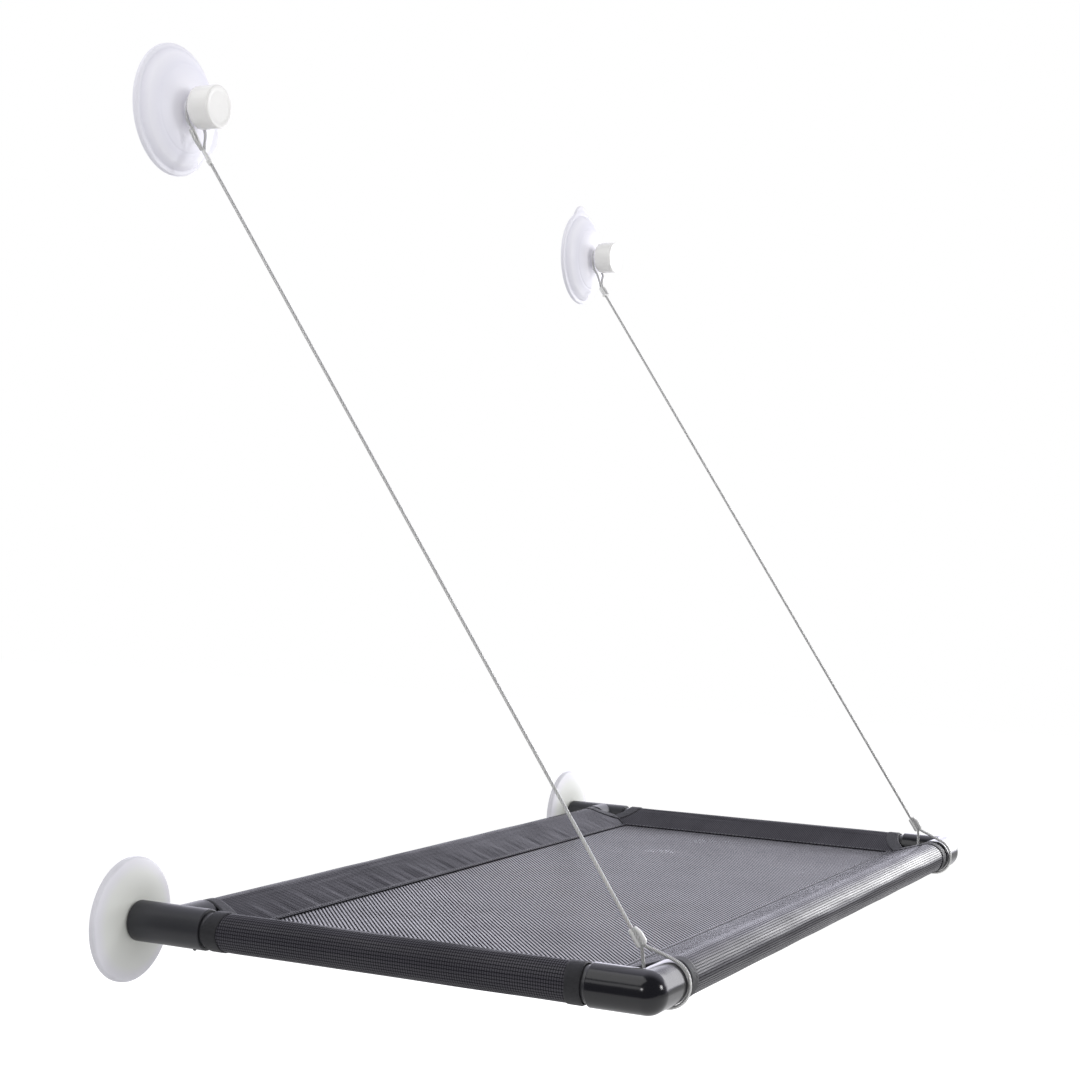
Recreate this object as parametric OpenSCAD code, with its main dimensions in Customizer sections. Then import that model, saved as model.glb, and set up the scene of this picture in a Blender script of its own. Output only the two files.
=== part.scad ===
// A pet perch that hangs on a window. A cloth sling is stretched on a frame of
// tubes. Two plain suction cups hold the rear corners, and two cables run up
// from the front corners to larger suction cups with screw knobs.
// The window is the plane y = 0, +Z is up, and the room is on the negative
// side of y. The origin lies on the window, midway between the side tubes, at
// the height of the tubes' axes. The left half is drawn, and the right half is
// its mirror image.

/* [Platform] */
// Distance between the axes of the two side tubes
frame_w = 660; // [560:10:760]
// Distance between the axes of the front and rear tubes
frame_d = 320; // [260:10:400]
// Distance from the window to the axis of the rear tube
rear_gap = 41; // [38:1:60]

/* [Tubes] */
// Outside diameter of the frame tubes
tube_d = 22; // [19:0.5:24]
// Wall of the frame tubes
tube_wall = 1.5; // [1:0.1:1.9]

/* [Fittings] */
// Wall of the moulded elbows and tees round a tube
fitting_wall = 1.9; // [1.5:0.1:2.4]
// Length of each elbow leg, from the corner to its mouth
elbow_leg = 34; // [30:1:40]
// Length of the tee's branch, from the axis of its run to its mouth
tee_branch = 25; // [22:1:32]
// Length of the tee's run in front of the rear tube's axis
tee_front = 22; // [18:1:30]
// Rounding of the fittings' mouths
mouth_round = 0.8; // [0.4:0.1:1.2]
// Rounding of the tee's end at the suction cup
cup_end_round = 2; // [1:0.5:3]

/* [Sling] */
// Thickness of the woven cloth
cloth_t = 0.8; // [0.5:0.1:1.2]
// Distance of each seam from the axis of its tube
seam_inset = 34; // [30:1:40]
// Bare tube between a fitting's mouth and the sleeve at the front
front_bare = 3; // [2:0.5:5]
// Bare tube between a fitting's mouth and the sleeve at the rear
rear_bare = 1.5; // [1:0.5:4]
// Width of the tape round each corner cut-out
tape_w = 10; // [8:1:12]
// Thickness of that tape
tape_t = 0.6; // [0.4:0.1:0.8]

/* [Lower cups] */
// Diameter of the lower suction cups
lower_cup_d = 80; // [60:1:90]
// Depth of the lower cups, from the window to the tee
lower_cup_h = 7.5; // [6.5:0.5:10]
// Length of the neck that plugs into the tee
plug_len = 16; // [10:1:20]

/* [Upper cups] */
// Height of the upper cups above the tubes' axes
cup_rise = 523; // [515:1:530]
// Distance between the axes of the upper cups
cup_spread = 634; // [628:1:640]
// Diameter of the upper suction cups
upper_cup_d = 85; // [70:1:95]
// Depth of the upper cups, from the window to the neck
upper_cup_h = 14.3; // [13.6:0.1:14.6]
// Diameter of the neck that the cable loop goes round
neck_d = 14; // [11:0.2:14.2]
// Length of the neck between the cup and its collar
neck_len = 4.8; // [4.4:0.2:6]
// Diameter of the collar in front of the cable loop
collar_d = 22; // [18:0.5:22]
// Thickness of the collar
collar_t = 1.6; // [1.2:0.1:3]
// Width of the pull tab where it leaves the rim
tab_w = 30; // [20:1:36]
// How far the pull tab stands out from the rim
tab_out = 6.5; // [5:0.5:10]
// Thickness of the pull tab
tab_t = 1.6; // [1:0.1:2.4]

/* [Knobs] */
// Diameter of the screw knobs
knob_d = 28; // [25:0.5:30]
// Length of the screw knobs
knob_len = 15.8; // [14:0.2:22]
// Rounding of the knob's front edge
knob_round = 2.6; // [1:0.2:4]
// Diameter of the threaded stud
stud_d = 8; // [6:0.5:9]
// Outside diameter of the threaded bush in the knob
bush_d = 15; // [13:0.5:18]

/* [Cables] */
// Diameter of the steel cables
cable_d = 2; // [1.6:0.1:2]
// Length of the crimped ferrules near the elbows
lower_ferrule_len = 11.5; // [9:0.5:12]
// Length of the crimped ferrules near the upper cups
upper_ferrule_len = 9.5; // [9:0.5:12]
// Width of the ferrules across both strands
ferrule_w = 7.4; // [6:0.2:8]
// Wall of the ferrules round the cable
ferrule_wall = 0.55; // [0.5:0.05:1]

/* [Hidden] */
$fn = 64;
// Overrun of cuts past the faces that they go through
over = 1;
// Clearance of a bearing's bore round its shaft, on the radius
run_play = 0.05;
// Gap between flat faces that turn against each other
face_play = 0.2;

tube_r = tube_d / 2;
rear_y = -rear_gap;
front_y = -rear_gap - frame_d;
side_x = frame_w / 2;

// Clearance of a fitting's socket round its tube, on the radius
socket_play = 0.1;
// Width of the ledge that a tube stops at
ledge = 2;
// Solid length between an elbow's corner and the tube's end
elbow_core = 3;
// How far in front of the rear axis the side tube stops
run_stop = 6;
socket_r = tube_r + socket_play;
fitting_r = socket_r + fitting_wall;
passage_r = tube_r - ledge;
elbow_stop = fitting_r + elbow_core;
// Moulding nub under each tee, and its place in front of the rear axis
nub_r = 1.3;
nub_place = 11.5;

// Clearance of the sleeve round its tube, on the radius
sleeve_play = 0.3;
// Clearance of the cloth round a fitting
cloth_play = 1;
// How far each corner cut-out reaches past the fitting's mouth
front_cut_gap = 4;
rear_cut_gap = 2;
// How far under the sleeve's surface a flap starts
flap_bite = 0.15;
// Length over which the two layers of a flap lie flat together
seam_lap = 0.5;
sleeve_in_r = tube_r + sleeve_play;
sleeve_r = sleeve_in_r + cloth_t;
front_cut_r = elbow_leg + front_cut_gap;
rear_cut_r = tee_branch + rear_cut_gap;
cut_h = 2 * fitting_r + 2 * over;

// Outlines of the suction cups as shares of their radius and depth
lower_back_shares = [
    [0.99, 0], [1, 0.06], [1, 0.4], [0.985, 0.52], [0.95, 0.6], [0.85, 0.72],
    [0.75, 0.82], [0.625, 0.91], [0.5, 0.97], [0.4, 0.995]
];
lower_hollow_shares = [
    [0, 0.49], [0.25, 0.485], [0.45, 0.465], [0.65, 0.385], [0.775, 0.25], [0.83, 0.12], [0.85, 0]
];
upper_back_shares = [
    [0.985, 0], [1, 0.04], [1, 0.18], [0.986, 0.23], [0.925, 0.25], [0.91, 0.31],
    [0.88, 0.43], [0.85, 0.54], [0.8, 0.64], [0.75, 0.72], [0.706, 0.785], [0.67, 0.815],
    [0.65, 0.85], [0.565, 0.92], [0.47, 0.97], [0.35, 0.995]
];
upper_hollow_shares = [
    [0, 0.76], [0.28, 0.755], [0.47, 0.715], [0.59, 0.655], [0.68, 0.56], [0.75, 0.435],
    [0.8, 0.29], [0.835, 0.14], [0.86, 0]
];
// Inner shoulder of the lower cup, which the tee's end stands on
shoulder_r = fitting_r + cloth_play / 2;
plug_r = passage_r - run_play;
// Slope on the plug's far end
plug_chamfer = 2;
upper_cup_x = -cup_spread / 2;
collar_base = upper_cup_h + neck_len;
collar_end = collar_base + collar_t;
// Gap between the pull tab and the window
tab_lift = 0.4;
// Directions of the pull tabs, counted upwards from the other cup's side
left_tab_turn = -13;
right_tab_turn = 83;

stud_r = stud_d / 2;
// Wall of the neck round the stud's head, the head's thickness, and how far
// it lies behind the neck's foot
neck_wall = 1.5;
stud_head_t = 2.2;
stud_head_in = 0.1;
stud_head_r = neck_d / 2 - neck_wall;
// Gap between the collar and a tight knob
knob_gap = 0.3;
knob_base = collar_end + knob_gap;
knob_r = knob_d / 2;
knob_end = knob_base + knob_len;
// Wall of the knob's front, space past the stud's end, and the bush's recess
knob_front = 2.5;
stud_room = 1.3;
bush_recess = 0.5;
bush_base = knob_base + bush_recess;
stud_end = knob_end - knob_front - stud_room;
// How far the bush stops short of the stud's end
bush_short = 0.5;
bush_end = stud_end - bush_short;
bush_r = bush_d / 2;
// Clearance round the stud's tip inside the knob, and slope of the knob's base
tip_play = 1;
base_chamfer = 0.6;

cable_r = cable_d / 2;
// Number of sides of the cable's tube
cable_sides = 8;
// Distance between the two strands in a ferrule
strand_gap = 2.2;
// Clearance of a ferrule's bores round the cable, on the radius
crimp_play = 0.05;
// Turn of an upper ferrule about its own length, so that it meets both strands
upper_spin = 69.6;
// Flared lip at the cable's end of an upper ferrule
lip_t = 1.2;
lip_out = 0.4;
barrel_r = cable_r + crimp_play + ferrule_wall;
barrel_out = ferrule_w / 2 - barrel_r;

// Clearance between the cable loop and the collar
loop_play = 0.35;
loop_base = collar_base - loop_play - cable_r;
// Places that the cable's points are counted from: the middle of the loop on
// the upper cup's neck, and the elbow's corner
cup_place = [upper_cup_x, 0, cup_rise];
loop_place = [upper_cup_x, -loop_base, cup_rise];
corner_place = [-side_x, front_y, 0];
// Route of the left cable. It starts inside the upper ferrule, goes round the
// upper cup's neck, down to the lower ferrule and round the elbow's front leg.
upper_loop_points = [
    [1.13, -12.44, -35.24], [0.98, -7.4, -27.79], [-0.6, -5.65, -24.4], [-3.2, -4.65, -19.5],
    [-6.6, -3.45, -14.8], [-7.7, -1.85, -12.1], [-8.3, -0.35, -9], [-8.4, 0, -6], [-8.45, 0, 0],
    [-7.32, 0, 4.23], [-4.23, 0, 7.32], [0, 0, 8.45], [4.23, 0, 7.32], [7.32, 0, 4.23], [8.45, 0, 0],
    [8.4, 0, -6], [8.5, -0.35, -9], [8.3, -1.85, -12.1], [7.4, -3.45, -15],
    [5.4, -4.95, -19.5], [3.7, -5.85, -24.5], [3.02, -6.7, -28.21], [3.22, -13.4, -38.11]
];
lower_loop_points = [
    [25.6, 21.9, 29.4], [25.8, 15.2, 19.5], [26.4, 14.8, 15], [27.5, 14.4, 9],
    [28.5, 14.3, 4], [29, 14.25, 0], [29, 13.39, -4.87], [29, 10.92, -9.16],
    [29, 7.13, -12.34], [29, 2.47, -14.03], [29, -2.47, -14.03], [29, -7.13, -12.34],
    [29, -10.92, -9.16], [29, -13.39, -4.87], [29, -14.25, 0], [29, -13.39, 4.87],
    [29, -10.92, 9.16], [29, -7.13, 12.34], [29, -4.4, 13.6], [28.4, 1.5, 15.95],
    [27.2, 7.5, 18.3], [25.8, 13.4, 20.7], [25.6, 20.1, 30.6]
];
// Where the straight run between the loops has its points
run_shares = [0.19, 0.41, 0.63, 0.85];
// The cut end that stands out of the upper ferrule beside the outer strand
tail_points = [[0.4, -6.15, -27.4], [-4.3, -3.95, -21.2], [-8.8, -3.25, -15.4]];
upper_loop = [for (p = upper_loop_points) loop_place + p];
lower_loop = [for (p = lower_loop_points) corner_place + p];
run_start = upper_loop[len(upper_loop) - 1];
straight_run = [for (share = run_shares) run_start + share * (lower_loop[0] - run_start)];
cable_tail = [for (p = tail_points) loop_place + p];

tube_colour = "#3b3c41";
fitting_colour = "#232428";
cloth_colour = "#4a4b50";
tape_colour = "#303136";
cup_colour = "#dfe0ea";
knob_colour = "#f1f1ee";
steel_colour = "#b9bbbe";

// Places a child that is drawn along +Z so that it runs along +X or -Y
module along_x(place) {
    translate(place) rotate([0, 90, 0]) children();
}

module along_y(place) {
    translate(place) rotate([90, 0, 0]) children();
}

// Mirrors a child of the left half to the right half
module on_right() {
    mirror([1, 0, 0]) children();
}

// Mirrors what lies along the front tube to the rear tube
module at_rear() {
    translate([0, front_y + rear_y, 0]) mirror([0, 1, 0]) children();
}

// A round bar whose far edge is rounded
module rounded_bar(r, len, edge) {
    rotate_extrude() {
        square([r - edge, len]);
        square([r, len - edge]);
        translate([r - edge, len - edge]) circle(r = edge);
    }
}

module tube(len) {
    difference() {
        cylinder(r = tube_r, h = len);
        translate([0, 0, -over]) cylinder(r = tube_r - tube_wall, h = len + 2 * over);
    }
}

module cross_tube(y, stop) {
    color(tube_colour) along_x([-side_x + stop, y, 0]) tube(frame_w - 2 * stop);
}

module side_tube() {
    color(tube_colour)
        along_y([-side_x, rear_y - run_stop, 0]) tube(frame_d - run_stop - elbow_stop);
}

// A socket for a tube, with the narrower passage behind its ledge
module socket(stop, mouth) {
    translate([0, 0, stop]) cylinder(r = socket_r, h = mouth - stop + over);
    cylinder(r = passage_r, h = stop + over);
}

module elbow() {
    color(fitting_colour)
        difference() {
            union() {
                along_x(corner_place) rounded_bar(fitting_r, elbow_leg, mouth_round);
                along_y(corner_place) mirror([0, 0, 1]) rounded_bar(fitting_r, elbow_leg, mouth_round);
                translate(corner_place) sphere(r = fitting_r);
            }
            along_x(corner_place) socket(elbow_stop, elbow_leg);
            along_y(corner_place) mirror([0, 0, 1]) socket(elbow_stop, elbow_leg);
            translate(corner_place) sphere(r = passage_r);
        }
}

module tee() {
    centre = [-side_x, rear_y, 0];
    back = rear_gap - lower_cup_h - face_play;
    color(fitting_colour)
        difference() {
            union() {
                along_y(centre) rounded_bar(fitting_r, tee_front, mouth_round);
                along_y(centre) mirror([0, 0, 1]) rounded_bar(fitting_r, back, cup_end_round);
                along_x(centre) rounded_bar(fitting_r, tee_branch, mouth_round);
                translate(centre - [0, nub_place, fitting_r]) sphere(r = nub_r);
            }
            along_y(centre) socket(run_stop, tee_front);
            along_y(centre) mirror([0, 0, 1]) cylinder(r = passage_r, h = back + over);
            along_x(centre) socket(fitting_r, tee_branch);
        }
}

// A bar with the section of a sleeve and its flap, which narrows to its edge.
// The tube's axis is the bar's axis, and the flap points along +X.
module flap_bar(r, edge, len) {
    root = r - flap_bite;
    start = acos(root / norm(edge[0])) + atan2(edge[0].y, edge[0].x);
    corner = [root * cos(start), root * sin(start)];
    cylinder(r = r, h = len);
    linear_extrude(height = len) polygon(concat([corner], edge, [[corner.x, -corner.y]]));
}

// The sleeve's outside, grown by the tape's thickness where the tape is made
// from it
module outer_bar(grow, len) {
    half_seam = cloth_t + grow;
    flap_bar(sleeve_r + grow, [[seam_inset, half_seam], [seam_inset, -half_seam]], len);
}

// The space inside the sleeve
module hollow_bar(len) {
    flap_bar(sleeve_in_r, [[seam_inset - seam_lap, 0]], len);
}

module side_bar(grow) {
    along_y([-side_x, rear_y, 0]) outer_bar(grow, frame_d);
}

module front_bar(grow) {
    translate([-side_x, front_y, 0]) rotate([90, 0, 90]) outer_bar(grow, frame_w);
}

module side_hollow() {
    along_y([-side_x, rear_y + over, 0]) hollow_bar(frame_d + 2 * over);
}

module front_hollow() {
    translate([-side_x - over, front_y, 0]) rotate([90, 0, 90]) hollow_bar(frame_w + 2 * over);
}

// Plan of the cloth that belongs to a side, bounded by the two corner mitres
module side_plan() {
    wide = sleeve_r + tape_t + over;
    translate([0, 0, -cut_h / 2])
        linear_extrude(height = cut_h)
        polygon([
            [-side_x - wide, rear_y], [-side_x, rear_y],
            [-side_x + seam_inset, rear_y - seam_inset], [-side_x + seam_inset, front_y + seam_inset],
            [-side_x, front_y], [-side_x - wide, front_y]
        ]);
}

module front_plan() {
    wide = sleeve_r + tape_t + over;
    translate([0, 0, -cut_h / 2])
        linear_extrude(height = cut_h)
        polygon([
            [-side_x, front_y - wide], [-side_x, front_y],
            [-side_x + seam_inset, front_y + seam_inset], [side_x - seam_inset, front_y + seam_inset],
            [side_x, front_y], [side_x, front_y - wide]
        ]);
}

// What each corner takes away from the cloth: a round cut-out and the lengths
// of tube that stay bare
module front_cut() {
    translate(corner_place - [0, 0, cut_h / 2]) cylinder(r = front_cut_r, h = cut_h);
    along_x(corner_place) cylinder(r = fitting_r + cloth_play, h = elbow_leg + front_bare);
    along_y(corner_place) mirror([0, 0, 1]) cylinder(r = fitting_r + cloth_play, h = elbow_leg + front_bare);
}

module rear_cut() {
    corner = [-side_x, rear_y, 0];
    translate(corner - [0, 0, cut_h / 2]) cylinder(r = rear_cut_r, h = cut_h);
    along_x(corner) cylinder(r = fitting_r + cloth_play, h = tee_branch + rear_bare);
    along_y(corner) cylinder(r = fitting_r + cloth_play, h = tee_front + rear_bare);
}

module side_sleeve() {
    color(cloth_colour)
        difference() {
            intersection() {
                side_bar(0);
                side_plan();
            }
            side_hollow();
            front_cut();
            rear_cut();
        }
}

module front_sleeve() {
    color(cloth_colour)
        difference() {
            intersection() {
                front_bar(0);
                front_plan();
            }
            front_hollow();
            front_cut();
            on_right() front_cut();
        }
}

module rear_sleeve() {
    color(cloth_colour)
        difference() {
            at_rear() intersection() {
                front_bar(0);
                front_plan();
            }
            at_rear() front_hollow();
            rear_cut();
            on_right() rear_cut();
        }
}

module sling_bed() {
    bed = [frame_w - 2 * seam_inset, frame_d - 2 * seam_inset, cloth_t];
    color(cloth_colour)
        difference() {
            translate([0, (front_y + rear_y) / 2, 0]) cube(bed, center = true);
            front_cut();
            on_right() front_cut();
            rear_cut();
            on_right() rear_cut();
        }
}

// The tape lies on the cloth round a cut-out, on the side and on the end
module front_tape() {
    color(tape_colour)
        difference() {
            intersection() {
                union() {
                    intersection() {
                        side_bar(tape_t);
                        side_plan();
                    }
                    intersection() {
                        front_bar(tape_t);
                        front_plan();
                    }
                }
                translate(corner_place - [0, 0, cut_h / 2]) cylinder(r = front_cut_r + tape_w, h = cut_h);
            }
            side_bar(0);
            front_bar(0);
            front_cut();
        }
}

module rear_tape() {
    color(tape_colour)
        difference() {
            intersection() {
                union() {
                    intersection() {
                        side_bar(tape_t);
                        side_plan();
                    }
                    at_rear() intersection() {
                        front_bar(tape_t);
                        front_plan();
                    }
                }
                translate([-side_x, rear_y, -cut_h / 2]) cylinder(r = rear_cut_r + tape_w, h = cut_h);
            }
            side_bar(0);
            at_rear() front_bar(0);
            rear_cut();
        }
}

function scaled(shares, r, h) = [for (p = shares) [p.x * r, p.y * h]];

module lower_cup() {
    r = lower_cup_d / 2;
    plug_end = lower_cup_h + plug_len;
    color(cup_colour)
        along_y([-side_x, 0, 0])
        rotate_extrude()
        polygon(concat(
            scaled(lower_hollow_shares, r, lower_cup_h),
            scaled(lower_back_shares, r, lower_cup_h),
            [
                [shoulder_r, lower_cup_h], [plug_r, lower_cup_h],
                [plug_r, plug_end - plug_chamfer], [plug_r - plug_chamfer, plug_end], [0, plug_end]
            ]
        ));
}

// The pull tab: a disc that meets the rim tab_w apart and stands tab_out proud
module pull_tab(turn) {
    r = upper_cup_d / 2;
    rim_height = sqrt(r * r - tab_w * tab_w / 4);
    reach = r + tab_out;
    centre = (reach * reach - rim_height * rim_height - tab_w * tab_w / 4) / (2 * (reach - rim_height));
    inner = r * upper_hollow_shares[len(upper_hollow_shares) - 1].x + over;
    difference() {
        rotate([0, 0, turn])
            translate([centre, 0, tab_lift]) cylinder(r = reach - centre, h = tab_t);
        cylinder(r = inner, h = tab_lift + tab_t + over);
    }
}

module stud_outline(grow) {
    head_end = upper_cup_h - stud_head_in;
    translate([0, head_end - stud_head_t]) square([stud_head_r, stud_head_t]);
    translate([0, head_end]) square([stud_r, stud_end - head_end + grow]);
}

module upper_cup(turn) {
    r = upper_cup_d / 2;
    color(cup_colour)
        along_y(cup_place)
        difference() {
            union() {
                rotate_extrude()
                    polygon(concat(
                        scaled(upper_hollow_shares, r, upper_cup_h),
                        scaled(upper_back_shares, r, upper_cup_h),
                        [
                            [neck_d / 2, upper_cup_h], [neck_d / 2, collar_base],
                            [collar_d / 2, collar_base], [collar_d / 2, collar_end], [0, collar_end]
                        ]
                    ));
                pull_tab(turn);
            }
            rotate_extrude() stud_outline(over);
        }
}

module stud() {
    color(steel_colour) along_y(cup_place) rotate_extrude() stud_outline(0);
}

module knob_bush() {
    color(steel_colour)
        along_y([upper_cup_x, -bush_base, cup_rise])
        difference() {
            cylinder(r = bush_r, h = bush_end - bush_base);
            translate([0, 0, -over]) cylinder(r = stud_r + run_play, h = bush_end - bush_base + 2 * over);
        }
}

module knob() {
    pocket = bush_end + run_play - knob_base;
    tip = stud_end + stud_room - knob_base;
    color(knob_colour)
        along_y([upper_cup_x, -knob_base, cup_rise])
        difference() {
            intersection() {
                rounded_bar(knob_r, knob_len, knob_round);
                cylinder(r1 = knob_r - base_chamfer, r2 = knob_r - base_chamfer + knob_len, h = knob_len);
            }
            translate([0, 0, -over]) cylinder(r = bush_r + run_play, h = pocket + over);
            cylinder(r = stud_r + tip_play, h = tip);
        }
}

function unit(v) = v / norm(v);

// Direction of a route at one of its points
function heading(route, i) =
    i == 0 ? unit(route[1] - route[0]) :
    i == len(route) - 1 ? unit(route[i] - route[i - 1]) :
    unit(unit(route[i] - route[i - 1]) + unit(route[i + 1] - route[i]));

function square_to(v, t) = unit(v - (v * t) * t);

// Direction that the first ring of a tube is turned towards
first_side = [1, 0.2, 0.1];

// One direction square to the route at each point, turning as little as it can
function sides(route) = [
    for (
        i = 0, s = square_to(first_side, heading(route, 0));
        i < len(route);
        i = i + 1, s = i < len(route) ? square_to(s, heading(route, i)) : s
    ) s
];

// A tube along a route: a ring of points at each place, joined by faces
module swept_tube(route, r) {
    n = cable_sides;
    last = len(route) - 1;
    across = sides(route);
    points = [
        for (i = [0:last]) for (k = [0:n - 1])
            route[i] + r * (cos(360 * k / n) * across[i] + sin(360 * k / n) * cross(heading(route, i), across[i]))
    ];
    walls = [
        for (i = [0:last - 1]) for (k = [0:n - 1])
            [i * n + k, (i + 1) * n + k, (i + 1) * n + (k + 1) % n, i * n + (k + 1) % n]
    ];
    start = [[for (k = [0:n - 1]) k]];
    end = [[for (k = [n - 1:-1:0]) last * n + k]];
    polyhedron(points = points, faces = concat(walls, start, end));
}

module cable() {
    color(steel_colour) {
        swept_tube(concat(upper_loop, straight_run, lower_loop), cable_r);
        swept_tube(cable_tail, cable_r);
    }
}

function aim(v) = [0, acos(v.z / norm(v)), atan2(v.y, v.x)];

// A bar with a flat oval section
module oval_bar(r, out, len) {
    translate([-out, -r, 0]) cube([2 * out, 2 * r, len]);
    for (side = [-1, 1])
        translate([side * out, 0, 0]) cylinder(r = r, h = len);
}

// A ferrule that is crimped flat over two strands. It runs from the loop's end,
// and spin turns the plane of its strands.
module ferrule(top, run, len, spin, lip) {
    translate(top) rotate(aim(run)) rotate([0, 0, spin])
        difference() {
            union() {
                oval_bar(barrel_r, barrel_out, len);
                if (lip)
                    translate([0, 0, len - lip_t]) oval_bar(barrel_r + lip_out, barrel_out, lip_t);
            }
            for (side = [-1, 1])
                translate([side * strand_gap / 2, 0, -over])
                    cylinder(r = cable_r + crimp_play, h = len + 2 * over);
        }
}

module upper_ferrule() {
    last = len(upper_loop) - 1;
    top = (upper_loop[1] + upper_loop[last - 1]) / 2;
    color(steel_colour) ferrule(top, upper_loop[last] - upper_loop[last - 1], upper_ferrule_len, upper_spin, true);
}

module lower_ferrule() {
    last = len(lower_loop) - 1;
    top = (lower_loop[0] + lower_loop[last]) / 2;
    color(steel_colour) ferrule(top, lower_loop[1] - lower_loop[0], lower_ferrule_len, 0, false);
}

cross_tube(front_y, elbow_stop);  // front_tube
cross_tube(rear_y, fitting_r);  // rear_tube
side_tube();  // left_tube
on_right() side_tube();  // right_tube
elbow();  // left_elbow
on_right() elbow();  // right_elbow
tee();  // left_tee
on_right() tee();  // right_tee
sling_bed();
front_sleeve();
rear_sleeve();
side_sleeve();  // left_sleeve
on_right() side_sleeve();  // right_sleeve
front_tape();  // front_left_tape
on_right() front_tape();  // front_right_tape
rear_tape();  // rear_left_tape
on_right() rear_tape();  // rear_right_tape
lower_cup();  // lower_left_cup
on_right() lower_cup();  // lower_right_cup
upper_cup(left_tab_turn);  // upper_left_cup
on_right() upper_cup(right_tab_turn);  // upper_right_cup
stud();  // left_stud
on_right() stud();  // right_stud
knob_bush();  // left_knob_bush
on_right() knob_bush();  // right_knob_bush
knob();  // left_knob
on_right() knob();  // right_knob
cable();  // left_cable
on_right() cable();  // right_cable
upper_ferrule();  // upper_left_ferrule
on_right() upper_ferrule();  // upper_right_ferrule
lower_ferrule();  // lower_left_ferrule
on_right() lower_ferrule();  // lower_right_ferrule
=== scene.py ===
# %% [markdown]
# # A window perch for a cat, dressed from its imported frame
# The perch is a cloth sling on a frame of four tubes. Two plain suction cups
# hold its rear corners, and two twisted cables run from its front corners up to
# larger suction cups with screw knobs.
#
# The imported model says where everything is, in metres: +X runs to the right
# along the window, +Y into the window and +Z up. Each piece made here is worked
# out in that frame, so nothing has to be fitted afterwards. The axes of the
# tubes and of the upper cups are given once, in millimetres.

# %% Load the frame
import math
from functools import partialmethod

import bpy
import numpy as np
from mathutils import Matrix


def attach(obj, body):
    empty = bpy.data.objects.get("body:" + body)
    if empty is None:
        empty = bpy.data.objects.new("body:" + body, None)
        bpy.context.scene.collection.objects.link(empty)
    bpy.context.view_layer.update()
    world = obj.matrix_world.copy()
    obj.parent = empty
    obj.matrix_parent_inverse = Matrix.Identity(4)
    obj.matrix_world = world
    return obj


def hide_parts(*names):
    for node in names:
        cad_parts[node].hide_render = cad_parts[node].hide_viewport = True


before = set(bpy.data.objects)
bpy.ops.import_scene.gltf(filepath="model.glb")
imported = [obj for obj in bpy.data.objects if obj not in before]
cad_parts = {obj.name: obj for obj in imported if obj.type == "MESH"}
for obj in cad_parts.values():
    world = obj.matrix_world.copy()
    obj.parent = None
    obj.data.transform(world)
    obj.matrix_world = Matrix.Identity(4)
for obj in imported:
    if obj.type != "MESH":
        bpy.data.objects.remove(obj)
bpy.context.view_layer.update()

MM = 0.001
SIDES = (("left", -1), ("right", 1))
SIDE_X, FRONT_Y, REAR_Y = 330.0, -361.0, -41.0
UPPER_X, UPPER_Z = 317.0, 523.0

# %% [markdown]
# ## The camera
# A camera that is solved from a picture has a place and three directions. The
# yaw is the turn to the right from straight at the window, the pitch looks up,
# and the roll turns the picture. Writing the three directions as the columns of
# a matrix avoids any doubt about the order of rotations.

# %% Camera
CAMERA_PLACE = np.array([-1351.978, -778.555, 243.131]) * MM
YAW, PITCH, ROLL = math.radians(64.14), math.radians(0.4407), math.radians(-2.1698)
FOCAL_SHARE = 1958.784 / 1080
SENSOR_WIDE = 36.0
NEAREST, FURTHEST = 0.05, 50.0


def unit(vectors):
    """Each vector with its length made 1."""
    return vectors / np.linalg.norm(vectors, axis=-1, keepdims=True)


def view_axes(yaw, pitch, roll):
    """Right, up and back directions. The look direction is yawed from +Y to +X and pitched up, right is
    look x up, and the roll turns right towards down."""
    look = np.array([math.sin(yaw) * math.cos(pitch), math.cos(yaw) * math.cos(pitch), math.sin(pitch)])
    right = unit(np.cross(look, [0, 0, 1]))
    down = np.cross(look, right)
    across = math.cos(roll) * right + math.sin(roll) * down
    below = math.cos(roll) * down - math.sin(roll) * right
    return across, -below, -look


def add_object(name, data):
    """A new object in the scene."""
    made = bpy.data.objects.new(name, data)
    bpy.context.scene.collection.objects.link(made)
    return made


def pose_matrix(*columns):
    """The matrix whose columns are three directions and a place."""
    return Matrix([[column[row] for column in columns] for row in range(3)] + [[0, 0, 0, 1]])


camera_data = bpy.data.cameras.new("camera")
camera_data.sensor_width = SENSOR_WIDE
camera_data.lens = SENSOR_WIDE * FOCAL_SHARE
camera_data.clip_start, camera_data.clip_end = NEAREST, FURTHEST
camera = add_object("camera", camera_data)
axes = view_axes(YAW, PITCH, ROLL)
camera.matrix_world = pose_matrix(*axes, CAMERA_PLACE)
bpy.context.scene.camera = camera
print("lens in mm:", round(camera_data.lens, 2))

# %% [markdown]
# ## Surfaces from grids
# Almost every piece here is a grid of points: so many rows along one parameter
# and so many columns along another. One helper turns such a grid into a mesh.
# It also writes the cloth's or cable's own coordinates as a UV map, in metres,
# so that a weave or a twist can follow the surface.

# %% Grid helpers
SURFACE_MAP = "surface"


def grid_faces(rows, cols, wrap_cols=False, first=0):
    """Four corner numbers for each cell of a grid; the last column joins the first where it wraps."""
    i = np.arange(rows - 1)[:, None]
    j = np.arange(cols if wrap_cols else cols - 1)[None, :]
    beside = (j + 1) % cols
    corners = [i * cols + j, i * cols + beside, (i + 1) * cols + beside, (i + 1) * cols + j]
    return first + np.stack(corners, axis=-1).reshape(-1, 4)


def end_faces(rows, cols):
    """A flat face on the first row of a grid that wraps round, and one on the last, seen from outside."""
    return [list(range(cols - 1, -1, -1)), list(range((rows - 1) * cols, rows * cols))]


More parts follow.
